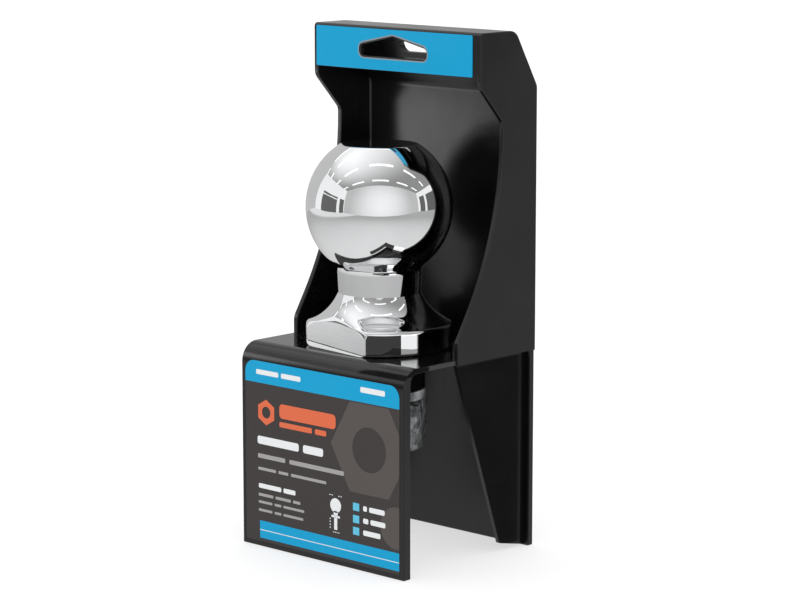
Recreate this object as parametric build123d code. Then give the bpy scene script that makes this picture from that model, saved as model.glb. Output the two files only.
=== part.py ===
from build123d import *
import math
import os

# A 1 7/8 inch trailer hitch ball with its lock washer and nut, clamped to the shelf of a
# moulded counter stand that carries two printed labels.
# Origin: bottom centre of the stand's bounding box. X runs across, Y to the back, Z up.

os.makedirs("parts", exist_ok=True)

INCH = 25.4

# Stand: one black moulding
WIDTH = 73.4            # across the side walls and the header
DEPTH = 62.5
HEIGHT = 169.5
STEP_IN = 0.5           # the shelf and everything below it is this much narrower per side
SHELF_Z = 67.1          # top of the shelf
SHELF_T = 1.7
SIDE_T = 1.8
BACK_T = 2.5
FRONT_T = 3.2
BEND_R = 6.3            # outer radius where the shelf turns down into the front panel
CORNER_R = 0.8          # inside fillet between the back panel and each side wall
EDGE_R = 0.4            # small rounding on the free edges

# Header at the top of the stand: a front plate, a short top and a sloping rear wall
HEADER_T = 1.8
HEADER_Y = 3.9          # front face of the header plate
HEADER_Z = 155.3        # lower edge of the header plate
NOSE_Z = 152.3          # the side walls' front edges turn back here
NOSE_R = 4.0
TOP_DEPTH = 16.7        # from the plate's face to the start of the slope
SLOPE_Z = 151.4         # where the slope meets the upright back panel
INNER_SLOPE_Z = 148.9   # the same corner on the inside
CREST_R = 4.4

# Front edge of each side wall, from the header down to the shelf
WALL_TOP_Y = 14.8       # the edge stands upright here, below the header's chamfer
CHAMFER_Z = 140.6
SWEEP_Z = 107.0         # corner of the long sweep
SWEEP_R = 111.7
FOOT_Y = -6.6
FOOT_Z = 72.5
FOOT_R = 4.9

# Gussets under the shelf, set in from the outer faces
GUSSET_IN = 1.9
GUSSET_T = 1.3
GUSSET_TOP_Y = -5.2
GUSSET_FOOT_Y = 16.6
GUSSET_FOOT_Z = 2.9
GUSSET_HEEL = (25.1, 1.1)

# Hang hole through the header
HOLE_HALF = 14.4
HOLE_X = -1.1
HOLE_Z = 159.9          # level lower edge
HOLE_SHOULDER = 3.2
HOLE_PEAK = 6.4
HOLE_LIP_R = 0.5

# Ball: one forging with its neck, flange and shank
BALL_R = 1.875 * INCH / 2
SHANK_R = 0.75 * INCH / 2
SHANK_LEN = 2.125 * INCH
BALL_Y = -3.7           # shank axis, measured from the middle of the stand
BALL_RISE = 45.4        # ball centre above the shelf
TOP_FLAT_RISE = 65.7
NECK_R = 13.6
BLEND_R = 3.1           # hollow between the ball and the neck
SHOULDER = ((13.5, 17.7, 0), (16.6, 11.0, 17.0))  # flare under the neck: radius, rise, rounding
FLANGE_R = 23.8
FLANGE_RISE = 8.0       # corner of the flange's sloping top, before rounding
FLANGE_ROUND = 1.5
FLANGE_FOOT_R = 1.2
FLAT_WIDTH = 37.0       # across the two wrench flats
FLAT_TURN = -7.0        # the flats are turned slightly from square
TIP_CHAMFER = 1.5

# Hardware under the shelf: 3/4 inch lock washer and heavy-chamfered hex nut
BOSS_R = 14.8
BOSS_DROP = 13.4        # underside of the boss below the shelf's top
HOLE_CLEARANCE = 0.08
WASHER_R = 15.1
WASHER_T = 3.6
WASHER_CLEARANCE = 0.09
SPLIT_GAP = 1.6
NUT_FLATS = 1.125 * INCH
NUT_H = 16.27
NUT_CLEARANCE = 0.06
NUT_TURN = 3.0

# Printed labels
LABEL_T = 0.2
HEADER_LABEL_LEFT = -35.4
HEADER_LABEL_RIGHT = 33.1
HEADER_LABEL_LOW = 155.5
HEADER_LABEL_HIGH = 168.7
FRONT_LABEL_HALF = 34.4
FRONT_LABEL_LOW = 1.8
FRONT_LABEL_HIGH = 60.8
FRONT_LABEL_R = 3.9

FRONT_Y = LABEL_T - DEPTH / 2  # the front label takes up the rest of the depth
BACK_Y = DEPTH / 2
SIDE_X = WIDTH / 2
LOW_X = SIDE_X - STEP_IN
UNDERSIDE_Z = SHELF_Z - SHELF_T


def outline(corners):
    """Closed face through (a, b, radius) corners, each corner rounded by its radius."""
    count = len(corners)
    ends = []
    for i, (a, b, radius) in enumerate(corners):
        here = Vector(a, b)
        if radius == 0:
            ends.append((here, here, here))
            continue
        back = (Vector(*corners[i - 1][:2]) - here).normalized()
        ahead = (Vector(*corners[(i + 1) % count][:2]) - here).normalized()
        half = math.radians(back.get_angle(ahead)) / 2
        reach = radius / math.tan(half)
        middle = here + (back + ahead).normalized() * (radius / math.sin(half) - radius)
        ends.append((here + back * reach, middle, here + ahead * reach))
    edges = []
    for i, (start, middle, finish) in enumerate(ends):
        if (finish - start).length > 1e-6:
            edges.append(ThreePointArc(start, middle, finish))
        following = ends[(i + 1) % count][0]
        if (following - finish).length > 1e-6:
            edges.append(Line(finish, following))
    return make_face(edges)


def across(corners, x_low, x_high):
    """Plate with a (y, z, radius) outline, running from x_low to x_high."""
    return extrude(Plane.YZ.offset(x_low) * outline(corners), amount=x_high - x_low)


def along(corners, y_low, y_high):
    """Plate with an (x, z, radius) outline, running from y_low to y_high."""
    plane = Plane(origin=(0, y_low, 0), x_dir=(1, 0, 0), z_dir=(0, -1, 0))
    return extrude(plane * outline(corners), amount=-(y_high - y_low))


def block(x_low, x_high, y_low, y_high, z_low, z_high):
    middle = ((x_low + x_high) / 2, (y_low + y_high) / 2, (z_low + z_high) / 2)
    return Pos(*middle) * Box(x_high - x_low, y_high - y_low, z_high - z_low)


# Outer rear outline, shared by the back shell and the side walls
crest_y = HEADER_Y + TOP_DEPTH
slope_angle = math.atan2(BACK_Y - crest_y, HEIGHT - SLOPE_Z)


def rear(inset):
    """Corners of the rear outline from the top front to the bottom, moved in by inset."""
    slope_shift = inset / math.cos(slope_angle)
    crest_shift = slope_shift - inset * math.tan(slope_angle)
    knee = inset * math.tan(slope_angle / 2)
    return [
        (crest_y - crest_shift, HEIGHT - inset, max(CREST_R - inset, 0.8)),
        (BACK_Y - inset, SLOPE_Z - knee, 3.0 + inset),
    ]


crest, knee = rear(0)
inner_crest = rear(HEADER_T)[0]
inner_x = SIDE_X - SIDE_T
inner_y = BACK_Y - BACK_T
gusset_x = LOW_X - GUSSET_IN


def edges_at(shape, x):
    """Edges of a shape that lie wholly in the plane at x."""
    return [
        edge
        for edge in shape.edges()
        if abs(edge.bounding_box().min.X - x) < 0.001 and abs(edge.bounding_box().max.X - x) < 0.001
    ]


# Header and upper back panel, with the two side walls
upper = across(
    [
        (HEADER_Y, HEADER_Z, EDGE_R),
        (HEADER_Y, HEIGHT, 1.2),
        crest,
        knee,
        (BACK_Y, UNDERSIDE_Z, 0),
        (inner_y, UNDERSIDE_Z, 0),
        (inner_y, INNER_SLOPE_Z, 4.0),
        inner_crest,
        (HEADER_Y + HEADER_T, HEIGHT - HEADER_T, 1.0),
        (HEADER_Y + HEADER_T, HEADER_Z, EDGE_R),
    ],
    -SIDE_X,
    SIDE_X,
)
wall_outline = [
    (HEADER_Y, NOSE_Z, NOSE_R),
    (HEADER_Y, HEIGHT, 1.2),
    crest,
    knee,
    (BACK_Y, UNDERSIDE_Z, 0),
    (FOOT_Y, UNDERSIDE_Z, 0),
    (FOOT_Y, FOOT_Z, FOOT_R),
    (WALL_TOP_Y, SWEEP_Z, SWEEP_R),
    (WALL_TOP_Y, CHAMFER_Z, 3.0),
]
for side in (-1, 1):
    wall = across(wall_outline, *sorted((side * SIDE_X, side * inner_x)))
    front_edges = [
        e for e in edges_at(wall, side * inner_x) if e.bounding_box().max.Y < WALL_TOP_Y + 0.1
    ]
    upper += fillet(front_edges, EDGE_R)
for side in (-1, 1):
    outer_edges = [e for e in edges_at(upper, side * SIDE_X) if e.center().Z > UNDERSIDE_Z + 0.1]
    upper = fillet(outer_edges, EDGE_R)

# Shelf, turned down at the front into the label panel
shelf = across(
    [
        (BACK_Y - BACK_T / 2, SHELF_Z, 0),
        (FRONT_Y, SHELF_Z, BEND_R),
        (FRONT_Y, 0, EDGE_R),
        (FRONT_Y + FRONT_T, 0, EDGE_R),
        (FRONT_Y + FRONT_T, UNDERSIDE_Z, BEND_R - FRONT_T),
        (BACK_Y - BACK_T / 2, UNDERSIDE_Z, 0),
    ],
    -LOW_X,
    LOW_X,
)
lower_back = across(
    [
        (BACK_Y, SHELF_Z, 0),
        (BACK_Y, 0, EDGE_R),
        (inner_y, 0, EDGE_R),
        (inner_y, SHELF_Z, 0),
    ],
    -LOW_X,
    LOW_X,
)
for side in (-1, 1):
    shelf = fillet(edges_at(shelf, side * LOW_X), EDGE_R)
    low_edges = [e for e in edges_at(lower_back, side * LOW_X) if e.center().Z < SHELF_Z - 0.1]
    lower_back = fillet(low_edges, EDGE_R)
stand = upper + shelf + lower_back

# Gussets under the shelf, and fillets between the side walls and the back panel
gusset_outline = [
    (GUSSET_TOP_Y, SHELF_Z - SHELF_T / 2, 0),
    (GUSSET_FOOT_Y, GUSSET_FOOT_Z, 0.8),
    (*GUSSET_HEEL, 2.0),
    (BACK_Y - BACK_T / 2, 0.2, 0),
    (BACK_Y - BACK_T / 2, SHELF_Z - SHELF_T / 2, 0),
]
envelope = across(wall_outline, -SIDE_X, SIDE_X)
for side in (-1, 1):
    stand += across(gusset_outline, *sorted((side * gusset_x, side * (gusset_x - GUSSET_T))))
    low_x, high_x = sorted((side * inner_x, side * (inner_x - CORNER_R)))
    corner = block(low_x, high_x, inner_y - CORNER_R, inner_y, SHELF_Z - 0.5, HEIGHT - 3)
    corner -= Pos(side * (inner_x - CORNER_R), inner_y - CORNER_R, HEIGHT / 2) * Cylinder(
        CORNER_R, HEIGHT
    )
    stand += corner & envelope

# Boss under the shelf, and the hole for the shank
boss_height = BOSS_DROP - SHELF_T / 2
stand += Pos(0, BALL_Y, SHELF_Z - BOSS_DROP + boss_height / 2) * Cylinder(BOSS_R, boss_height)
stand -= Pos(0, BALL_Y, SHELF_Z) * Cylinder(SHANK_R + HOLE_CLEARANCE, 4 * BOSS_DROP)

# Hang hole through the header plate and the sloping wall behind it
hang_outline = [
    (HOLE_X - HOLE_HALF, HOLE_Z, 1.5),
    (HOLE_X + HOLE_HALF, HOLE_Z, 1.3),
    (HOLE_X + HOLE_HALF, HOLE_Z + HOLE_SHOULDER, 1.8),
    (HOLE_X, HOLE_Z + HOLE_PEAK, 2.4),
    (HOLE_X - HOLE_HALF, HOLE_Z + HOLE_SHOULDER, 1.3),
]
hang_hole = along(hang_outline, HEADER_Y - 5, BACK_Y + 5)
stand -= hang_hole
lip = [
    e
    for e in stand.edges()
    if abs(e.bounding_box().min.Y - HEADER_Y) < 0.001
    and abs(e.bounding_box().max.Y - HEADER_Y) < 0.001
    and abs(e.center().X - HOLE_X) < HOLE_HALF + 1
    and HOLE_Z - 1 < e.center().Z < HOLE_Z + HOLE_PEAK + 1
]
stand = fillet(lip, HOLE_LIP_R)

# Hitch ball: neck, flange and shank turned about the axis, with the ball blended on
turned = [
    (0, BALL_RISE, 0),
    (NECK_R, BALL_RISE, 0),
    *SHOULDER,
    (FLANGE_R, FLANGE_RISE, FLANGE_ROUND),
    (FLANGE_R, 0, FLANGE_FOOT_R),
    (SHANK_R, 0, 0),
    (SHANK_R, TIP_CHAMFER - SHANK_LEN, 0),
    (SHANK_R - TIP_CHAMFER, -SHANK_LEN, 0),
    (0, -SHANK_LEN, 0),
]
ball = revolve(Plane.XZ * outline(turned), Axis.Z) + Pos(0, 0, BALL_RISE) * Sphere(BALL_R)
ball -= Pos(0, 0, TOP_FLAT_RISE + BALL_R) * Box(3 * BALL_R, 3 * BALL_R, 2 * BALL_R)
neck_meet = BALL_RISE - math.sqrt(BALL_R**2 - NECK_R**2)
meeting = [e for e in ball.edges() if abs(e.center().Z - neck_meet) < 0.05]
ball = fillet(meeting, BLEND_R)
for side in (-1, 1):
    cut_y = FLAT_WIDTH / 2 + FLANGE_R / 2
    ball -= Pos(0, side * cut_y, FLANGE_RISE) * Box(3 * FLANGE_R, FLANGE_R, 2 * FLANGE_RISE)
ball = Pos(0, BALL_Y, SHELF_Z) * Rot(0, 0, FLAT_TURN) * ball

# Split lock washer: a square-section ring with a slanted gap
washer = Cylinder(WASHER_R, WASHER_T)
washer -= Cylinder(SHANK_R + WASHER_CLEARANCE, 2 * WASHER_T)
washer -= Pos(WASHER_R, 0, 0) * Rot(35, 0, 0) * Box(2 * WASHER_R - 4, SPLIT_GAP, 3 * WASHER_T)
washer_z = SHELF_Z - BOSS_DROP - WASHER_T / 2
washer = Pos(0, BALL_Y, washer_z) * Rot(0, 0, 200) * washer

# Hex nut, its corners chamfered by cones on both faces
corner_r = NUT_FLATS / 2 / math.cos(math.pi / 6)
nut = extrude(RegularPolygon(corner_r, 6), amount=NUT_H / 2, both=True)
face_r = NUT_FLATS / 2 - 0.3
bevel = (corner_r - face_r) * math.tan(math.radians(30)) + 0.05
barrel = [
    (0, -NUT_H / 2),
    (face_r, -NUT_H / 2),
    (corner_r + 0.1, -NUT_H / 2 + bevel),
    (corner_r + 0.1, NUT_H / 2 - bevel),
    (face_r, NUT_H / 2),
    (0, NUT_H / 2),
]
nut &= revolve(Plane.XZ * make_face(Polyline(barrel, close=True)), Axis.Z)
nut -= Cylinder(SHANK_R + NUT_CLEARANCE, 2 * NUT_H)
nut_z = washer_z - WASHER_T / 2 - NUT_H / 2
nut = Pos(0, BALL_Y, nut_z) * Rot(0, 0, NUT_TURN) * nut

# Labels lie flat on the header plate and on the front panel
header_label = along(
    [
        (HEADER_LABEL_LEFT, HEADER_LABEL_LOW, 0.5),
        (HEADER_LABEL_RIGHT, HEADER_LABEL_LOW, 0.5),
        (HEADER_LABEL_RIGHT, HEADER_LABEL_HIGH, 0.5),
        (HEADER_LABEL_LEFT, HEADER_LABEL_HIGH, 0.5),
    ],
    HEADER_Y - LABEL_T,
    HEADER_Y,
)
grown = 0.65
window = [(x + math.copysign(grown, x - HOLE_X), z, r + grown) for x, z, r in hang_outline]
window = [
    (x if abs(z - HOLE_Z - HOLE_PEAK) > 0.1 else HOLE_X, z + (grown if z > HOLE_Z else -grown), r)
    for x, z, r in window
]
header_label -= along(window, HEADER_Y - 1, HEADER_Y + 1)

front_label = along(
    [
        (-FRONT_LABEL_HALF, FRONT_LABEL_LOW, 0.8),
        (FRONT_LABEL_HALF, FRONT_LABEL_LOW, 0.8),
        (FRONT_LABEL_HALF, FRONT_LABEL_HIGH, FRONT_LABEL_R),
        (-FRONT_LABEL_HALF, FRONT_LABEL_HIGH, FRONT_LABEL_R),
    ],
    FRONT_Y - LABEL_T,
    FRONT_Y,
)

PARTS = {
    "display_stand": stand,
    "header_label": header_label,
    "front_label": front_label,
    "hitch_ball": ball,
    "lock_washer": washer,
    "hex_nut": nut,
}
for name, shape in PARTS.items():
    export_step(shape, f"parts/{name}.step")
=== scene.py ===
import math

import bmesh
import bpy
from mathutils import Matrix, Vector


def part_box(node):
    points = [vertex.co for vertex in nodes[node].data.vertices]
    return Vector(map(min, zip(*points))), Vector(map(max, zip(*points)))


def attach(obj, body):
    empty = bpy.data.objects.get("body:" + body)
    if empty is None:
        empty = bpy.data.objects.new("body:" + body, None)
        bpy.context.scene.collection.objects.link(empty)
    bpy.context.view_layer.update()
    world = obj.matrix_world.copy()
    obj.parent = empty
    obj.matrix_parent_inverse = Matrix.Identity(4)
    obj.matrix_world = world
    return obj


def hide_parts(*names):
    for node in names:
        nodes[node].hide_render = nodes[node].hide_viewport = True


MM = 0.001
TAU = 2 * math.pi

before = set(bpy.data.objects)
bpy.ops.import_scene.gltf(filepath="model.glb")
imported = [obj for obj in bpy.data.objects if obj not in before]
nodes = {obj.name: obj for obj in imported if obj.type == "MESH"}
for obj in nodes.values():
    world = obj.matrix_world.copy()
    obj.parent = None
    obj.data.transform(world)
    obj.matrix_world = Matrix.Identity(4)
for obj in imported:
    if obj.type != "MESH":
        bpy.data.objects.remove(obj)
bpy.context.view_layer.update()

ball_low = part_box("hitch_ball")[0]
washer_low, washer_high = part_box("lock_washer")
nut_low, nut_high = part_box("hex_nut")
front_low, front_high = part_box("front_label")
header_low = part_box("header_label")[0]

SHANK_LEN = 53.975                            # mm; 2 1/8 inches
BALL_RISE = 45.4                              # mm from the shelf to the ball's centre
AXIS_Y = (washer_low.y + washer_high.y) / 2   # shank axis
SHELF = ball_low.z + SHANK_LEN * MM           # shelf top
BALL_CENTRE = Vector((0, AXIS_Y, SHELF + BALL_RISE * MM))


# ---------------------------------------------------------------- material helpers

def material(name):
    m = bpy.data.materials.new(name)
    m.use_nodes = True
    m.node_tree.nodes.clear()
    out = m.node_tree.nodes.new("ShaderNodeOutputMaterial")
    shader = m.node_tree.nodes.new("ShaderNodeBsdfPrincipled")
    m.node_tree.links.new(shader.outputs[0], out.inputs["Surface"])
    return m, shader


def add(m, kind, **values):
    """New node; each value is set on the node itself or on its input of that name."""
    n = m.node_tree.nodes.new(kind)
    for key, value in values.items():
        if hasattr(n, key):
            setattr(n, key, value)
        else:
            n.inputs[key.replace("_", " ")].default_value = value
    return n


def link(m, a, b):
    m.node_tree.links.new(a, b)


def math_node(m, operation, a, b):
    n = add(m, "ShaderNodeMath", operation=operation)
    link(m, a, n.inputs[0])
    link(m, b, n.inputs[1])
    return n.outputs[0]


def remap(m, value, low, high, to_low, to_high):
    """Smooth step of a value from one range to another."""
    n = add(m, "ShaderNodeMapRange", interpolation_type="SMOOTHSTEP")
    link(m, value, n.inputs["Value"])
    for key, v in (("From Min", low), ("From Max", high), ("To Min", to_low), ("To Max", to_high)):
        n.inputs[key].default_value = v
    return n.outputs["Result"]


def coordinates(m, scale=(1, 1, 1)):
    """Place on the object in metres, stretched along any axis whose scale is below 1."""
    coord = add(m, "ShaderNodeTexCoord")
    mapping = add(m, "ShaderNodeMapping", vector_type="POINT")
    mapping.inputs["Scale"].default_value = scale
    link(m, coord.outputs["Object"], mapping.inputs["Vector"])
    return mapping.outputs[0]


def noise(m, vector, scale, detail=2.0, roughness=0.5):
    n = add(m, "ShaderNodeTexNoise", Scale=scale, Detail=detail, Roughness=roughness)
    link(m, vector, n.inputs["Vector"])
    return n.outputs["Fac"]


def bump(m, height, distance, strength, normal=None):
    n = add(m, "ShaderNodeBump", Strength=strength, Distance=distance)
    link(m, height, n.inputs["Height"])
    if normal is not None:
        link(m, normal, n.inputs["Normal"])
    return n.outputs[0]


def tint(m, fac, low, high):
    """Colour that runs from low to high with fac."""
    n = add(m, "ShaderNodeMix", data_type="RGBA")
    for socket in n.inputs:
        if socket.type == "RGBA" and socket.name == "A":
            socket.default_value = (*low, 1)
        if socket.type == "RGBA" and socket.name == "B":
            socket.default_value = (*high, 1)
    link(m, fac, n.inputs["Factor"])
    return n.outputs[2]


# ---------------------------------------------------------------- materials

SHELF_POLISH = 0.35      # roughness of the glossy shelf, as a share of the rest


def moulded_plastic():
    """Black plastic with faint clouds and scuffs, glossier on the shelf."""
    m, s = material("moulded_plastic")
    at = coordinates(m)
    cloud = noise(m, at, 45, 3)
    shade = remap(m, cloud, 0.3, 0.7, 0, 1)
    link(m, tint(m, shade, (0.0040, 0.0040, 0.0042), (0.0062, 0.0062, 0.0064)), s.inputs["Base Color"])
    scuffs = noise(m, coordinates(m, (1, 1, 0.05)), 700, 2)
    cloud_rough = remap(m, cloud, 0.3, 0.7, 0.19, 0.25)
    rough = math_node(m, "ADD", cloud_rough, remap(m, scuffs, 0.62, 0.8, 0, 0.05))
    face = add(m, "ShaderNodeSeparateXYZ")
    link(m, add(m, "ShaderNodeNewGeometry").outputs["Normal"], face.inputs[0])
    height = add(m, "ShaderNodeSeparateXYZ")
    link(m, at, height.inputs[0])
    level = remap(m, face.outputs["Z"], 0.8, 1.0, 1.0, SHELF_POLISH)
    above_shelf = remap(m, height.outputs["Z"], 0.075, 0.085, SHELF_POLISH, 1.0)
    polish = math_node(m, "MAXIMUM", level, above_shelf)
    link(m, math_node(m, "MULTIPLY", rough, polish), s.inputs["Roughness"])
    grain = noise(m, at, 3800, 2)
    flow = noise(m, coordinates(m, (1, 1, 0.35)), 60, 2)
    link(m, bump(m, grain, 0.00002, 0.35, bump(m, flow, 0.0006, 0.10)), s.inputs["Normal"])
    s.inputs["IOR"].default_value = 1.5
    return m


def plated_chrome():
    """Polished chrome with a breath of haze and faint lathe marks."""
    m, s = material("chrome_plate")
    at = coordinates(m)
    haze = noise(m, at, 90, 3)
    link(m, tint(m, remap(m, haze, 0.35, 0.7, 0, 1), (0.90, 0.905, 0.915), (0.86, 0.865, 0.875)),
         s.inputs["Base Color"])
    fine = noise(m, coordinates(m, (1, 1, 0.08)), 2200, 2)
    haze_rough = remap(m, haze, 0.35, 0.75, 0.015, 0.04)
    rough = math_node(m, "ADD", haze_rough, remap(m, fine, 0.66, 0.8, 0, 0.05))
    link(m, rough, s.inputs["Roughness"])
    lathe_marks = noise(m, coordinates(m, (0.02, 0.02, 1)), 1500, 2)
    pits = noise(m, at, 420, 3)
    link(m, bump(m, lathe_marks, 0.00001, 0.25, bump(m, pits, 0.00001, 0.2)), s.inputs["Normal"])
    s.inputs["Metallic"].default_value = 1.0
    return m


def zinc(name, low, high, rough_low, rough_high, pits_scale, pits_strength):
    """Zinc plate: spangles between two tones, uneven roughness and small pits."""
    m, s = material(name)
    at = coordinates(m)
    spangle = noise(m, at, 320, 4, 0.6)
    link(m, tint(m, remap(m, spangle, 0.35, 0.68, 0, 1), low, high), s.inputs["Base Color"])
    link(m, remap(m, noise(m, at, 900, 3), 0.3, 0.7, rough_low, rough_high), s.inputs["Roughness"])
    pits = noise(m, coordinates(m, (1, 1, 0.4)), pits_scale, 4, 0.6)
    link(m, bump(m, pits, 0.0003, pits_strength), s.inputs["Normal"])
    s.inputs["Metallic"].default_value = 1.0
    return m


INK_ROUGH = 0.32
INK_SPECULAR = 0.15


def ink(name, colour):
    """Printed film: a faint halftone mottle and a slightly uneven sheen."""
    m, s = material(name)
    at = coordinates(m)
    mottle = noise(m, at, 1600, 2)
    low = tuple(c * 0.95 for c in colour)
    high = tuple(min(1, c * 1.05) for c in colour)
    link(m, tint(m, mottle, low, high), s.inputs["Base Color"])
    sheen = remap(m, noise(m, at, 60, 2), 0.3, 0.7, INK_ROUGH - 0.05, INK_ROUGH + 0.06)
    link(m, sheen, s.inputs["Roughness"])
    link(m, bump(m, noise(m, at, 500, 2), 0.00002, 0.2), s.inputs["Normal"])
    s.inputs["Specular IOR Level"].default_value = INK_SPECULAR
    return m


PLASTIC = moulded_plastic()
CHROME = plated_chrome()
WASHER_ZINC = zinc("washer_zinc", (0.22, 0.225, 0.23), (0.37, 0.38, 0.39), 0.30, 0.45, 900, 0.25)
NUT_ZINC = zinc("nut_zinc", (0.08, 0.082, 0.085), (0.46, 0.47, 0.48), 0.30, 0.5, 700, 1.0)
BLUE = ink("ink_blue", (0.003, 0.343, 0.622))
DARK = ink("ink_dark", (0.051, 0.045, 0.044))
GHOST = ink("ink_ghost", (0.096, 0.084, 0.078))
WHITE = ink("ink_white", (0.80, 0.81, 0.82))
GREY = ink("ink_grey", (0.36, 0.35, 0.34))
ORANGE = ink("ink_orange", (0.72, 0.15, 0.065))
PALE_BLUE = ink("ink_pale_blue", (0.12, 0.52, 0.72))
PAPER = ink("paper_edge", (0.26, 0.30, 0.33))


def paint(name, m):
    """Gives a CAD node its material."""
    o = nodes[name]
    o.data.materials.clear()
    o.data.materials.append(m)


# ---------------------------------------------------------------- turned shapes

def piece(name, points, faces, m, body, replaced, sharp):
    """Smooth mesh that rides on a body; edges above sharp degrees stay sharp."""
    mesh = bpy.data.meshes.new(name)
    mesh.from_pydata(points, [], faces)
    mesh.validate()
    bm = bmesh.new()
    bm.from_mesh(mesh)
    bmesh.ops.recalc_face_normals(bm, faces=bm.faces)
    bm.to_mesh(mesh)
    bm.free()
    mesh.shade_smooth()
    mesh.set_sharp_from_angle(angle=math.radians(sharp))
    mesh.materials.append(m)
    o = bpy.data.objects.new(name, mesh)
    bpy.context.scene.collection.objects.link(o)
    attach(o, body)
    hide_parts(replaced)
    return o


def rounded(corners, step):
    """Points of a path through (r, z, radius) corners, each an arc in steps of step degrees.

    Arcs of more than 4 mm radius get finer steps, so that the chrome mirrors cleanly.
    """
    path = [Vector(corners[0][:2])]
    for i in range(1, len(corners) - 1):
        r, z, radius = corners[i]
        here = Vector((r, z))
        if radius == 0:
            path.append(here)
            continue
        back = (Vector(corners[i - 1][:2]) - here).normalized()
        ahead = (Vector(corners[i + 1][:2]) - here).normalized()
        half = math.acos(max(-1, min(1, back.dot(ahead)))) / 2
        reach = radius / math.tan(half)
        centre = here + (back + ahead).normalized() * (radius / math.sin(half))
        start = here + back * reach - centre
        turn = start.angle_signed(here + ahead * reach - centre)
        fine_step = step * min(1, 4 / radius)
        count = max(2, math.ceil(abs(math.degrees(turn)) / fine_step))
        for k in range(count + 1):
            a = -turn * k / count
            x = start.x * math.cos(a) - start.y * math.sin(a)
            y = start.x * math.sin(a) + start.y * math.cos(a)
            path.append(centre + Vector((x, y)))
    path.append(Vector(corners[-1][:2]))
    return path


def spread(path, longest):
    """The path with extra points, so that no run is longer than longest."""
    out = [path[0]]
    for a, b in zip(path, path[1:]):
        count = max(1, math.ceil((b - a).length / longest))
        out += [a.lerp(b, k / count) for k in range(1, count + 1)]
    return out


def angles_with_corners(count, corners, near=4.0, fine=9):
    """Evenly spread angles in degrees, with extra ones close to each corner."""
    values = {round(360 * k / count, 4) for k in range(count)}
    for corner in corners:
        values = {v for v in values if abs((v - corner + 180) % 360 - 180) > 0.5}
        for k in range(-fine, fine + 1):
            offset = near * (abs(k) / fine) ** 2 * (1 if k > 0 else -1)
            values.add(round((corner + offset) % 360, 4))
    return [math.radians(v) for v in sorted(values)]


def soft_min(a, b, width):
    """The smaller of two numbers, blended where they differ by less than width."""
    h = max(0.0, min(1.0, 0.5 + 0.5 * (b - a) / width))
    return b * (1 - h) + a * h - width * h * (1 - h)


class Turned:
    """Closed mesh made of rings about a vertical axis."""

    def __init__(self, centre_y, base_z):
        self.points = []
        self.faces = []
        self.rings = []
        self.origin = Vector((0, centre_y, base_z))

    def ring(self, angles, radius, z):
        """One ring; radius and z are numbers in mm or functions of the angle."""
        start = len(self.points)
        for a in angles:
            r = radius(a) if callable(radius) else radius
            h = z(a) if callable(z) else z
            self.points.append(self.origin + Vector((r * math.cos(a), r * math.sin(a), h)) * MM)
        self.rings.append((start, list(angles)))

    def cap(self, z):
        """Closes the last ring with a fan to a point on the axis."""
        start, angles = self.rings[-1]
        self.points.append(self.origin + Vector((0, 0, z)) * MM)
        tip = len(self.points) - 1
        count = len(angles)
        self.faces += [(start + k, start + (k + 1) % count, tip) for k in range(count)]

    def join(self, one, two):
        """Wall between two rings, which may have different angles."""
        a, angles_a = self.rings[one]
        b, angles_b = self.rings[two]
        na, nb = len(angles_a), len(angles_b)
        if na == nb:
            for k in range(na):
                n = (k + 1) % na
                self.faces.append((a + k, a + n, b + n, b + k))
            return
        i = j = 0
        while i < na or j < nb:
            next_a = angles_a[i + 1] if i + 1 < na else angles_a[0] + TAU
            next_b = angles_b[j + 1] if j + 1 < nb else angles_b[0] + TAU
            if j >= nb or (i < na and next_a <= next_b):
                self.faces.append((a + i, a + (i + 1) % na, b + j % nb))
                i += 1
            else:
                self.faces.append((a + i % na, b + (j + 1) % nb, b + j))
                j += 1

    def join_all(self, closed=False):
        for k in range(len(self.rings) - 1):
            self.join(k, k + 1)
        if closed:
            self.join(len(self.rings) - 1, 0)


# 3/4-10 right-hand thread, in mm; heights are from the shelf
CREST_R = 9.525
ROOT_R = 7.98
PITCH = 2.54
THREAD_TOP = -15.975
RUN_OUT = 3.0            # the thread deepens over this length
FLANK = 0.72             # share of half a pitch taken by the sloped flank
ROOT_EDGE = 0.88         # where the flank starts, as a share of half a pitch


def thread_depth(angle, z):
    """0 on the crest, 1 in the root, by height and angle about the shank."""
    phase = (z / PITCH - angle / TAU) % 1.0
    away = abs(phase - 0.5) * 2
    return max(0.0, min(1.0, (ROOT_EDGE - away) / FLANK))


def shank_radius(angle, z):
    """Radius of the threaded shank in mm."""
    fade = max(0.0, min(1.0, (THREAD_TOP - z) / RUN_OUT))
    return CREST_R - (CREST_R - ROOT_R) * thread_depth(angle, z) * fade


# ---------------------------------------------------------------- hitch ball

# Heights in mm above the shelf
BALL_R = 23.8125         # 1 7/8 inch ball
TOP_FLAT = 65.7
TOP_ROUND = 1.6          # round between the top flat and the ball
NECK_R = 13.75
HOLLOW_R = 3.1           # hollow between the ball and the neck
NECK_FOOT = (13.5, 17.7)
SHOULDER = (16.6, 11.0, 17.0)   # where the neck's flare meets the flange's slope, and its round
FLANGE_R = 23.8
FLANGE_H = 8.0
FLANGE_ROUND = 1.5
FLANGE_FOOT = 1.2
FLAT_HALF = 18.5         # half the width over the two wrench flats
FLAT_TURN = math.radians(-7)
FLAT_TOP = 14.0          # the flats run out below this height
THREAD_STEP = 0.17       # height of one ring of the thread
TIP_CHAMFER = 1.6


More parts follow.
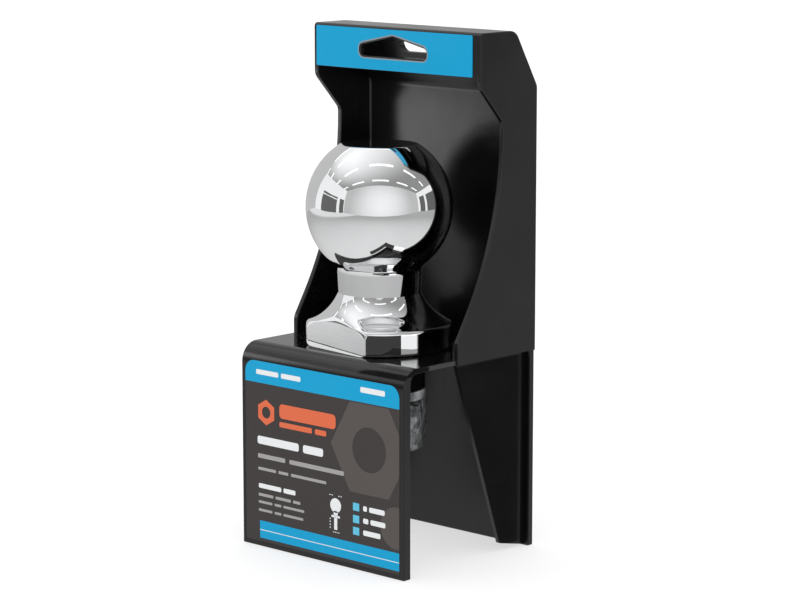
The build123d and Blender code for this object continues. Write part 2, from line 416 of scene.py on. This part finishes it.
def flatted(r, z):
    """Radius of a ring by angle, cut back where the two wrench flats are."""
    if r < FLAT_HALF - 3:
        return r
    soft = 0.35 + 2.2 * max(0.0, min(1.0, (z - 6.0) / 3.0))

    def radius(angle):
        s = abs(math.sin(angle - FLAT_TURN))
        return soft_min(r, FLAT_HALF / s, soft) if s > 0.3 else r
    return radius


def hitch_ball():
    t = Turned(AXIS_Y, SHELF)
    corner = math.degrees(math.asin(FLAT_HALF / FLANGE_R))
    corners = [c + math.degrees(FLAT_TURN) for c in (corner, 180 - corner, 180 + corner, 360 - corner)]
    upper = angles_with_corners(300, corners)

    # top flat and the ball itself
    chord = math.sqrt(BALL_R**2 - (TOP_FLAT - BALL_RISE) ** 2)
    path = [Vector((r, TOP_FLAT)) for r in (0.6, 3, 6, 9, chord - 1.3)]
    inner = BALL_R - TOP_ROUND
    lift = TOP_FLAT - BALL_RISE - TOP_ROUND
    reach = math.sqrt(inner**2 - lift**2)
    first = math.atan2(lift, reach)
    for k in range(9):
        a = math.pi / 2 + (first - math.pi / 2) * k / 8
        path.append(Vector((reach + TOP_ROUND * math.cos(a), BALL_RISE + lift + TOP_ROUND * math.sin(a))))
    # the ball meets the neck in a small hollow
    hollow_x = NECK_R + HOLLOW_R
    dip = math.sqrt((BALL_R + HOLLOW_R) ** 2 - hollow_x**2)
    last = -math.atan2(dip, hollow_x)
    count = 80
    for k in range(1, count + 1):
        a = first + (last - first) * k / count
        path.append(Vector((BALL_R * math.cos(a), BALL_RISE + BALL_R * math.sin(a))))
    centre = Vector((hollow_x, BALL_RISE - dip))
    start = math.pi + last
    for k in range(1, 11):
        a = start + (math.pi - start) * k / 10
        path.append(centre + Vector((math.cos(a), math.sin(a))) * HOLLOW_R)
    # neck, shoulder and flange, with finer rings where the wrench flats cut them
    low = rounded(
        [
            (NECK_R, BALL_RISE - dip, 0),
            (*NECK_FOOT, 0),
            SHOULDER,
            (FLANGE_R, FLANGE_H, FLANGE_ROUND),
            (FLANGE_R, 0.0, FLANGE_FOOT),
            (CREST_R + 2, 0, 0),
        ],
        3,
    )
    fine_below = FLAT_TOP - 0.5
    path += spread([p for p in low[1:] if p.y >= fine_below], 1.0)
    path += spread([path[-1]] + [p for p in low if p.y < fine_below], 0.14)[1:]
    for p in path:
        t.ring(upper, flatted(p.x, p.y) if p.y < FLAT_TOP else p.x, p.y)
    # shank with its thread, chamfered at the tip
    lower = [TAU * k / 112 for k in range(112)]
    t.ring(lower, CREST_R, 0.0)
    t.ring(lower, CREST_R, THREAD_TOP)
    z = THREAD_TOP
    tip = -SHANK_LEN
    while z > tip + 0.14:
        z -= THREAD_STEP
        limit = CREST_R - max(0.0, TIP_CHAMFER - (z - tip))
        t.ring(lower, lambda a, z=z, limit=limit: min(shank_radius(a, z), limit), z)
    t.ring(lower, CREST_R - TIP_CHAMFER - 0.1, tip)
    t.join_all()
    first_start, first_angles = t.rings[0]
    t.cap(tip)
    t.points.append(t.origin + Vector((0, 0, TOP_FLAT)) * MM)
    top = len(t.points) - 1
    n = len(first_angles)
    t.faces += [(first_start + (k + 1) % n, first_start + k, top) for k in range(n)]
    return piece("hitch_ball_forging", t.points, t.faces, CHROME, "ball", "hitch_ball", 24)


# ---------------------------------------------------------------- nut and washer

NUT_FLATS = 28.575       # mm; standard 3/4 inch hex nut
NUT_H = 16.27
NUT_TURN = 3.0           # degrees
NUT_EDGE = 0.12          # step of the rings over the chamfer
WASHER_ROUND = 0.7
WASHER_SPLIT = math.radians(200)
SPLIT_SLANT = math.radians(35)
SPLIT_HALF = 0.8         # half the width of the split


def hex_nut():
    centre_z = (nut_low.z + nut_high.z) / 2
    t = Turned(AXIS_Y, centre_z)
    shift = (centre_z - SHELF) / MM
    corner_r = NUT_FLATS / 2 / math.cos(math.pi / 6)
    face_r = NUT_FLATS / 2 - 0.3
    angles = angles_with_corners(144, [NUT_TURN + 60 * k for k in range(6)], 5.0, 7)

    def side(angle, z):
        local = (math.degrees(angle) - NUT_TURN + 360) % 60 - 30
        r = NUT_FLATS / 2 / math.cos(math.radians(local))
        r = soft_min(r, corner_r - 0.06, 0.12)
        cone = face_r + (NUT_H / 2 - abs(z)) / math.tan(math.radians(30))
        return min(r, soft_min(r, cone, 0.1), cone)

    def bore(angle, z):
        thread = shank_radius(angle, z + shift) + 0.05
        mouth = CREST_R + 0.55 - (NUT_H / 2 - abs(z))
        return max(thread, mouth, ROOT_R + 0.05)

    half = NUT_H / 2
    outer = [half, half - 0.04]
    outer += [half - NUT_EDGE * k for k in range(1, 14)]
    middle = [outer[-1] - (2 * outer[-1]) * k / 10 for k in range(1, 10)]
    levels = outer + middle + [-z for z in reversed(outer)]
    for z in levels:
        t.ring(angles, lambda a, z=z: side(a, z), z)
    steps = 100
    for k in range(steps + 1):
        z = -half + NUT_H * k / steps
        t.ring(angles, lambda a, z=z: bore(a, z), z)
    t.join_all(closed=True)
    return piece("hex_nut_threaded", t.points, t.faces, NUT_ZINC, "nut", "hex_nut", 28)


def lock_washer():
    centre_z = (washer_low.z + washer_high.z) / 2
    half = (washer_high.z - washer_low.z) / 2 / MM
    outer_r = (washer_high.x - washer_low.x) / 2 / MM
    inner_r = CREST_R + 0.09
    section = rounded(
        [
            (inner_r, 0, 0),
            (inner_r, half, 0.35),
            (outer_r, half, WASHER_ROUND),
            (outer_r, -half, WASHER_ROUND),
            (inner_r, -half, 0.35),
            (inner_r, 0, 0),
        ],
        18,
    )[:-1]
    count = 160
    points, faces = [], []
    for k in range(count + 1):
        u = k / count
        for p in section:
            slant = math.tan(SPLIT_SLANT) * p.y / p.x
            gap = SPLIT_HALF / math.cos(SPLIT_SLANT) / p.x
            a = WASHER_SPLIT + slant + gap + (TAU - 2 * gap) * u
            points.append((
                p.x * math.cos(a) * MM,
                AXIS_Y + p.x * math.sin(a) * MM,
                centre_z + p.y * MM,
            ))
    n = len(section)
    for k in range(count):
        for j in range(n):
            i = (j + 1) % n
            faces.append((k * n + j, k * n + i, (k + 1) * n + i, (k + 1) * n + j))
    faces.append(tuple(range(n)))
    faces.append(tuple(reversed(range(count * n, (count + 1) * n))))
    return piece(
        "lock_washer_split", points, faces, WASHER_ZINC, "washer", "lock_washer", 35
    )


hitch_ball()
nut_piece = hex_nut()
washer_piece = lock_washer()

# ---------------------------------------------------------------- labels

FRONT_FACE = front_high.y       # panel face that the front label lies on
BEND_Z = front_high.z           # the panel starts to curve back here
BEND_R = 6.3 * MM
UNIT = 0.9714 * MM              # one unit of the label drawing
LABEL_LEFT, LABEL_RIGHT = front_low.x / UNIT, front_high.x / UNIT
LABEL_LOW, LABEL_HIGH = front_low.z / UNIT, front_high.z / UNIT + 1.2

# Lowest and highest level of each layer above the panel, in label units
FILM = (0.0, 0.10)
GHOST_INK = (0.08, 0.12)
BAND_INK = (0.08, 0.14)
PRINT = (0.10, 0.16)
KEY_INK = (0.10, 0.15)
BAND_PRINT = (0.12, 0.18)
LINE_PRINT = (0.12, 0.17)


def box_outline(x0, x1, z0, z1, radius, top_radius=None):
    """Rounded rectangle."""
    corners = [(x0, z0, radius), (x1, z0, radius),
               (x1, z1, top_radius or radius), (x0, z1, top_radius or radius)]
    out = []
    for i, (x, z, r) in enumerate(corners):
        sx = 1 if x == x1 else -1
        sz = 1 if z == z1 else -1
        cx, cz = x - sx * r, z - sz * r
        first = math.atan2(sz, sx) - math.pi / 4
        for k in range(7):
            a = first + (math.pi / 2) * k / 6
            out.append((cx + r * math.cos(a), cz + r * math.sin(a)))
    return out


def circle(x, z, r, count=48):
    return [(x + r * math.cos(TAU * k / count), z + r * math.sin(TAU * k / count)) for k in range(count)]


def nut_outlines(x, z, flat, hole, start, count=48):
    """Hexagon and the round hole in it, as a pair of outlines."""
    outer, inner = [], []
    for k in range(count):
        a = TAU * k / count
        off_flat = (a + math.pi / 6) % (math.pi / 3) - math.pi / 6
        r = flat / math.cos(off_flat)
        outer.append((x + r * math.cos(start + a), z + r * math.sin(start + a)))
        inner.append((x + hole * math.cos(start + a), z + hole * math.sin(start + a)))
    return outer, inner


def film(name, shapes, levels, m, clip=None, face_y=FRONT_FACE, replaced=None):
    """Thin closed slabs, one per outline or per (outer, inner) pair of outlines.

    Slabs on the front panel follow its bend.
    """
    back, front = levels
    bm = bmesh.new()
    for shape in shapes:
        if isinstance(shape, tuple):
            outer = [bm.verts.new((x, 0, z)) for x, z in shape[0]]
            inner = [bm.verts.new((x, 0, z)) for x, z in shape[1]]
            n = len(outer)
            for k in range(n):
                bm.faces.new((outer[k], outer[(k + 1) % n], inner[(k + 1) % n], inner[k]))
        else:
            bm.faces.new([bm.verts.new((x, 0, z)) for x, z in shape])

    def cut(at, facing, clear):
        whole = bm.verts[:] + bm.edges[:] + bm.faces[:]
        bmesh.ops.bisect_plane(bm, geom=whole, plane_co=at, plane_no=facing, clear_outer=clear)

    if clip:
        x0, x1, z0, z1 = clip
        cut((x0, 0, 0), (-1, 0, 0), True)
        cut((x1, 0, 0), (1, 0, 0), True)
        cut((0, 0, z0), (0, 0, -1), True)
        cut((0, 0, z1), (0, 0, 1), True)
    for k in range(7):
        cut((0, 0, BEND_Z / UNIT + 0.3 * k), (0, 0, 1), False)
    for v in bm.verts:
        v.co.y = -back
    made = bmesh.ops.extrude_face_region(bm, geom=bm.faces[:])
    for v in made["geom"]:
        if isinstance(v, bmesh.types.BMVert):
            v.co.y = -front
    bmesh.ops.recalc_face_normals(bm, faces=bm.faces)
    for v in bm.verts:
        x, y, z = v.co * UNIT
        over = z - BEND_Z
        if over > 0 and face_y == FRONT_FACE:
            a = over / BEND_R
            r = BEND_R - y
            v.co = (x, face_y + BEND_R - r * math.cos(a), BEND_Z + r * math.sin(a))
        else:
            v.co = (x, face_y + y, z)
    mesh = bpy.data.meshes.new(name)
    bm.to_mesh(mesh)
    bm.free()
    mesh.materials.append(m)
    o = bpy.data.objects.new(name, mesh)
    bpy.context.scene.collection.objects.link(o)
    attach(o, "stand")
    if replaced:
        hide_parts(replaced)
    return o


def bars(words, z0, z1, fill):
    """Plain bars that stand for words: (x start, x end) pairs in one line of text."""
    trim = (z1 - z0) * (1 - fill) / 2
    r = (z1 - z0 - 2 * trim) * 0.28
    return [box_outline(a, b, z0 + trim, z1 - trim, r) for a, b in words]


def boxes(places, wide, tall):
    """Small boxes of one size, by their low left corners."""
    return [box_outline(x, x + wide, z, z + tall, SHARP) for x, z in places]


# The drawing of the front label: x across from its middle, z up from the foot of the stand
SHARP = 0.1
TOP_CORNER = 4.0
BAND_LOW = 56.4
STRIPE_LEFT = -28.9
INSIDE = (LABEL_LEFT + 0.1, LABEL_RIGHT - 0.1, LABEL_LOW + 0.1, BAND_LOW)
ABOVE_BAND = (-40, 40, BAND_LOW, 80)
sheet = box_outline(LABEL_LEFT, LABEL_RIGHT, LABEL_LOW, LABEL_HIGH, 0.8, TOP_CORNER)
band = box_outline(
    LABEL_LEFT + 0.05, LABEL_RIGHT - 0.05, BAND_LOW - 3, LABEL_HIGH - 0.05, 0.3, TOP_CORNER
)
stripe = box_outline(STRIPE_LEFT, LABEL_RIGHT - 0.1, 3.0, 9.0, SHARP)
stripe_line = box_outline(STRIPE_LEFT, LABEL_RIGHT - 0.1, 5.72, 5.98, SHARP)
film("front_label_film", [sheet], FILM, DARK, replaced="front_label")
ghost = [nut_outlines(22, 41, 15.0, 7.5, math.pi / 2), circle(34, 17, 7.0)]
film("front_label_ghost", ghost, GHOST_INK, GHOST, INSIDE)
film("front_label_band", [band], BAND_INK, BLUE, ABOVE_BAND)
film("front_label_stripe", [stripe], BAND_INK, BLUE)
film("front_label_line", [stripe_line], LINE_PRINT, WHITE)

band_words = bars([(-30.1, -19.6), (-18.3, -9.2)], 58.9, 61.3, 0.7)
band_words += bars([(18.2, 29.1)], 59.3, 61.9, 0.7)
film("front_label_band_words", band_words, BAND_PRINT, WHITE)

emblem = [nut_outlines(-25.5, 46.6, 3.8, 2.0, 0.0)]
emblem += bars([(-19.2, 6.9)], 45.6, 50.5, 1.0)
emblem += bars([(-19.2, -4.0), (-2.6, 2.6)], 42.6, 44.4, 1.0)
film("front_label_emblem", emblem, PRINT, ORANGE)

title = bars([(-29.7, -10.2), (-8.2, 1.1)], 35.1, 38.6, 0.78)
title += bars([(-29.3, -18.6), (-17.5, -11.9)], 20.0, 22.2, 0.72)
title += bars([(19.3, 21.0), (22.0, 28.9)], 20.0, 22.4, 0.72)
title += bars([(19.3, 21.6), (22.6, 29.2)], 15.9, 18.3, 0.72)
title += bars([(19.3, 27.0)], 11.9, 14.3, 0.72)
film("front_label_title", title, PRINT, WHITE)

lines = bars([(-29.6, -16.6), (-14.6, 10.6)], 29.9, 32.9, 0.5)
lines += bars([(-29.5, -21.0), (-19.8, -15.2), (-13.9, 2.5)], 26.0, 28.0, 0.5)
lines += bars([(-29.4, -22.4), (-21.3, -14.1), (-13.0, -9.6)], 17.2, 18.8, 0.62)
lines += bars([(-29.4, -22.9), (-21.8, -18.6), (-17.6, -7.8)], 14.8, 16.2, 0.62)
lines += bars([(-29.4, -22.9), (-21.8, -18.6), (-17.6, -8.3)], 12.0, 13.4, 0.62)
film("front_label_lines", lines, PRINT, GREY)

# ball, neck, flange and shank, with three dashed dimension lines
pictogram = [
    circle(6.8, 20.1, 2.45),
    box_outline(5.9, 7.7, 16.6, 18.2, SHARP),
    box_outline(4.9, 8.7, 16.0, 16.7, SHARP),
    box_outline(6.1, 7.5, 11.9, 16.1, SHARP),
]
pictogram += boxes([(x, 23.3) for x in (4.0, 5.0, 8.1, 9.1)], 0.5, 0.3)
pictogram += boxes([(4.1, z) for z in (12.1, 13.1, 14.1, 15.1)], 0.35, 0.5)
pictogram += boxes([(x, 10.9) for x in (5.6, 6.4, 7.2, 8.0)], 0.45, 0.3)
film("front_label_pictogram", pictogram, PRINT, WHITE)
keys = boxes([(14.7, z) for z in (19.9, 15.8, 11.8)], 2.8, 2.6)
film("front_label_keys", keys, KEY_INK, PALE_BLUE)

# Pale cut edge of the header label round the hang hole
HOLE_X, HOLE_HALF = -1.1, 14.4
HOLE_Z, HOLE_SHOULDER, HOLE_PEAK = 159.9, 3.2, 6.4
CUT_EDGE = (0.95, 0.55)         # how far outside the hole the pale edge starts and ends


def hang_outline(grown):
    """Hang hole outline in mm, grown outwards, with its corners rounded."""
    left, right = HOLE_X - HOLE_HALF - grown, HOLE_X + HOLE_HALF + grown
    low, shoulder = HOLE_Z - grown, HOLE_Z + HOLE_SHOULDER + grown
    corners = [(left, low, 1.5), (right, low, 1.3), (right, shoulder, 1.8),
               (HOLE_X, HOLE_Z + HOLE_PEAK + grown, 2.4), (left, shoulder, 1.3)]
    start = ((left + right) / 2, low, 0)
    loop = rounded([start] + [(x, z, r + grown) for x, z, r in corners[1:] + corners[:1]] + [start], 9)
    return [tuple(p) for p in loop[:-1]]


def even_loop(loop, count):
    """The loop again as count evenly spaced points."""
    points = [Vector(p) for p in loop] + [Vector(loop[0])]
    lengths = [(b - a).length for a, b in zip(points, points[1:])]
    step = sum(lengths) / count
    out, k, used = [], 0, 0.0
    for i in range(count):
        want = i * step
        while used + lengths[k] < want:
            used += lengths[k]
            k += 1
        out.append(tuple(points[k].lerp(points[k + 1], (want - used) / lengths[k])))
    return out


def in_units(loop):
    return [(x * MM / UNIT, z * MM / UNIT) for x, z in loop]


edge = tuple(in_units(even_loop(hang_outline(grown), 96)) for grown in CUT_EDGE)
film("header_label_edge", [edge], (0.0, 0.12), PAPER, face_y=header_low.y + 0.08 * MM)
paint("display_stand", PLASTIC)
paint("header_label", BLUE)

# ---------------------------------------------------------------- camera

AZIMUTH = math.radians(42.95)
ELEVATION = math.radians(9.75)
SENSOR = 36                      # mm
FOCAL = 2778.7 / 800             # focal length as a share of the picture's width
camera = bpy.data.objects.new("camera", bpy.data.cameras.new("camera"))
bpy.context.scene.collection.objects.link(camera)
camera.data.sensor_width = SENSOR
camera.data.lens = FOCAL * SENSOR
camera.location = (0.6094, -0.6486, 0.2343)
TOWARDS = Vector((math.sin(AZIMUTH), -math.cos(AZIMUTH), 0))      # from the object to the camera
SIDEWAYS = Vector((math.cos(AZIMUTH), math.sin(AZIMUTH), 0))      # to the camera's right
back = TOWARDS * math.cos(ELEVATION) + Vector((0, 0, math.sin(ELEVATION)))
camera.rotation_mode = "QUATERNION"
camera.rotation_quaternion = (-back).to_track_quat("-Z", "Y")
bpy.context.scene.camera = camera

# ---------------------------------------------------------------- studio

world = bpy.data.worlds.new("studio")
bpy.context.scene.world = world
world.use_nodes = True
world.node_tree.nodes["Background"].inputs["Color"].default_value = (1, 1, 1, 1)
world.node_tree.nodes["Background"].inputs["Strength"].default_value = 1.0
bpy.context.scene.view_settings.view_transform = "Standard"

ROOM = 3.0                       # from the ball to the wall behind the camera, in metres
LEFT, RIGHT = -1.48, 2.0         # side walls, and the rest of the room, in rooms' depths
REAR, FRONT = -0.78, 1.0
FLOOR, CEILING = -0.14, 0.833


def place(side, depth, up):
    """Point in the room, in rooms' depths from the ball's centre."""
    return BALL_CENTRE + (SIDEWAYS * side + TOWARDS * depth + Vector((0, 0, up))) * ROOM


def emission(name, strength):
    m = bpy.data.materials.new(name)
    m.use_nodes = True
    m.node_tree.nodes.clear()
    out = add(m, "ShaderNodeOutputMaterial")
    light = add(m, "ShaderNodeEmission", Strength=strength)
    link(m, light.outputs[0], out.inputs["Surface"])
    return m, light


def even_light(name, strength):
    return emission(name, strength)[0]


def glow(name, centre, radius, inner, outer, left=0.0):
    """Light that runs from inner to outer away from a point, with more added on the left."""
    m, light = emission(name, inner)
    coord = add(m, "ShaderNodeTexCoord")
    away = add(m, "ShaderNodeVectorMath", operation="DISTANCE")
    link(m, coord.outputs["Object"], away.inputs[0])
    away.inputs[1].default_value = place(*centre)
    strength = remap(m, away.outputs["Value"], 0, radius * ROOM, inner, outer)
    if left:
        across = add(m, "ShaderNodeVectorMath", operation="DOT_PRODUCT")
        link(m, coord.outputs["Object"], across.inputs[0])
        across.inputs[1].default_value = SIDEWAYS
        extra = remap(m, across.outputs["Value"], -0.58 * ROOM, -0.78 * ROOM, 0.0, left)
        strength = math_node(m, "ADD", strength, extra)
    link(m, strength, light.inputs["Strength"])
    return m


def card(name, corners, m):
    """Flat stage card, seen only in reflections."""
    mesh = bpy.data.meshes.new(name)
    mesh.from_pydata([tuple(c) for c in corners], [], [tuple(range(len(corners)))])
    mesh.materials.append(m)
    o = bpy.data.objects.new(name, mesh)
    bpy.context.scene.collection.objects.link(o)
    o.visible_camera = False
    o.visible_diffuse = False
    o.visible_shadow = False
    return o


def side_card(name, side, d0, d1, u0, u1, m):
    """Card in the plane of a side wall."""
    return card(name, [place(side, d, u) for d, u in ((d0, u0), (d1, u0), (d1, u1), (d0, u1))], m)


def across_card(name, depth, m):
    """Card over the whole width and height of the room."""
    corners = ((LEFT, FLOOR), (RIGHT, FLOOR), (RIGHT, CEILING), (LEFT, CEILING))
    return card(name, [place(side, depth, up) for side, up in corners], m)


def level_card(name, s0, s1, d0, d1, up, m):
    return card(name, [place(side, d, up) for side, d in ((s0, d0), (s1, d0), (s1, d1), (s0, d1))], m)


wall_light = glow("wall_light", (0.1, 1.0, 0.15), 1.3, 0.98, 0.55)
side_light = even_light("side_light", 0.95)
rear_light = even_light("rear_light", 0.56)
ceiling_light = glow("ceiling_light", (-0.45, -0.20, 0.833), 1.4, 1.12, 0.30)
floor_light = glow("floor_light", (0.0, 0.05, -0.14), 0.75, 0.78, 0.44, left=0.36)
strip_light = even_light("strip_light", 1.35)
door_grey = even_light("door_grey", 0.14)

across_card("wall_front", FRONT, wall_light)
across_card("wall_rear", REAR, rear_light)
side_card("wall_left", LEFT, REAR, FRONT, FLOOR, CEILING, side_light)
side_card("wall_right", RIGHT, REAR, FRONT, FLOOR, CEILING, side_light)
level_card("room_floor", LEFT, RIGHT, REAR, FRONT, FLOOR, floor_light)
level_card("room_ceiling", LEFT, RIGHT, REAR, FRONT, CEILING, ceiling_light)

# doors on the side walls and light strips under the ceiling, just inside the room
IN = 0.01
side_card("door_left_wide", LEFT + IN, -0.32, 0.54, FLOOR, 0.39, door_grey)
side_card("door_left_narrow", LEFT + IN, 0.69, 0.95, FLOOR, 0.39, door_grey)
side_card("door_left_rail", LEFT + 2 * IN, -0.32, 0.54, 0.30, 0.33, side_light)
side_card("door_right_narrow", RIGHT - IN, 0.48, 0.84, FLOOR, 0.58, door_grey)
side_card("door_right_wide", RIGHT - IN, -0.44, 0.34, FLOOR, 0.56, door_grey)

DASH, DASH_STEP, DASH_WIDE, DASH_SHIFT = 0.47, 0.72, 0.065, 0.045
for row, depth in enumerate((0.742, 0.222, -0.293, -0.70)):
    for k in range(-2, 4):
        middle = DASH_SHIFT + DASH_STEP * k
        a = max(middle - DASH / 2, LEFT)
        b = min(middle + DASH / 2, RIGHT)
        if b - a < 0.05:
            continue
        near, far = depth - DASH_WIDE / 2, depth + DASH_WIDE / 2
        level_card(f"strip_{row}_{k + 2}", a, b, near, far, CEILING - IN, strip_light)

# Small cards seen only in reflections: the dark and bright patches on the flange's rim, and
# the shade over the gusset
black_card = even_light("black_card", 0.05)
bright_card = even_light("bright_card", 0.98)
shelf_card = even_light("shelf_card", 1.6)
SHELF_MM = SHELF / MM
EDGE_X, EDGE_Y = 36.5, -31.3
DARK_END, BRIGHT_END = -19.2, -7.2
FLAG_LOW, FLAG_SPLIT, FLAG_HIGH = SHELF_MM - 2.5, SHELF_MM + 4.6, SHELF_MM + 9


def upright(name, x0, y0, x1, y1, z0, z1, m):
    """Upright card between two places in the CAD frame, in mm."""
    corners = ((x0, y0, z0), (x1, y1, z0), (x1, y1, z1), (x0, y0, z1))
    return card(name, [Vector(c) * MM for c in corners], m)


upright("flag_front", 14.2, EDGE_Y, EDGE_X, EDGE_Y, FLAG_LOW, FLAG_HIGH, black_card)
upright("flag_right", EDGE_X, EDGE_Y, EDGE_X, DARK_END, FLAG_LOW, FLAG_HIGH, black_card)
upright("flag_bright", EDGE_X, DARK_END, EDGE_X, BRIGHT_END, FLAG_LOW, FLAG_SPLIT, bright_card)
upright("flag_above", EDGE_X, DARK_END, EDGE_X, BRIGHT_END, FLAG_SPLIT, FLAG_HIGH, shelf_card)
upright("flag_gusset", 37.5, -2, 37.5, 30, 0.5, 63.5, black_card)


def soft_light(name, at, target, wide, tall, watts, lit):
    """Area light that reaches only the pieces in lit."""
    data = bpy.data.lights.new(name, "AREA")
    data.shape = "RECTANGLE"
    data.size, data.size_y = wide, tall
    data.energy = watts
    o = bpy.data.objects.new(name, data)
    bpy.context.scene.collection.objects.link(o)
    o.location = at
    o.rotation_mode = "QUATERNION"
    o.rotation_quaternion = (Vector(target) - Vector(at)).to_track_quat("-Z", "Y")
    group = bpy.data.collections.new(name + "_receivers")
    for piece_lit in lit:
        group.objects.link(piece_lit)
    o.light_linking.receiver_collection = group
    o.visible_camera = False
    return o


soft_light(
    "panel_light", (-0.147, -0.110, 0.112), (-0.002, 0.028, 0.148), 0.06, 0.052, 0.0195,
    [nodes["display_stand"]],
)
soft_light(
    "hardware_light", (0.024, 0.020, 0.044), (0.0, AXIS_Y, 0.044), 0.028, 0.040, 0.0026,
    [washer_piece, nut_piece],
)

# The ground the stand rests on: plain, pale and matt
GROUND = 6
pale, pale_shader = material("pale_floor")
pale_shader.inputs["Base Color"].default_value = (0.45, 0.45, 0.45, 1)
pale_shader.inputs["Roughness"].default_value = 0.9
pale_shader.inputs["Emission Color"].default_value = (1, 1, 1, 1)
pale_shader.inputs["Emission Strength"].default_value = 0.62
ground_corners = ((-GROUND, -GROUND, 0), (GROUND, -GROUND, 0), (GROUND, GROUND, 0), (-GROUND, GROUND, 0))
ground = card("floor", ground_corners, pale)
ground.visible_camera = True
ground.visible_glossy = False
ground.visible_diffuse = True
ground.visible_shadow = True
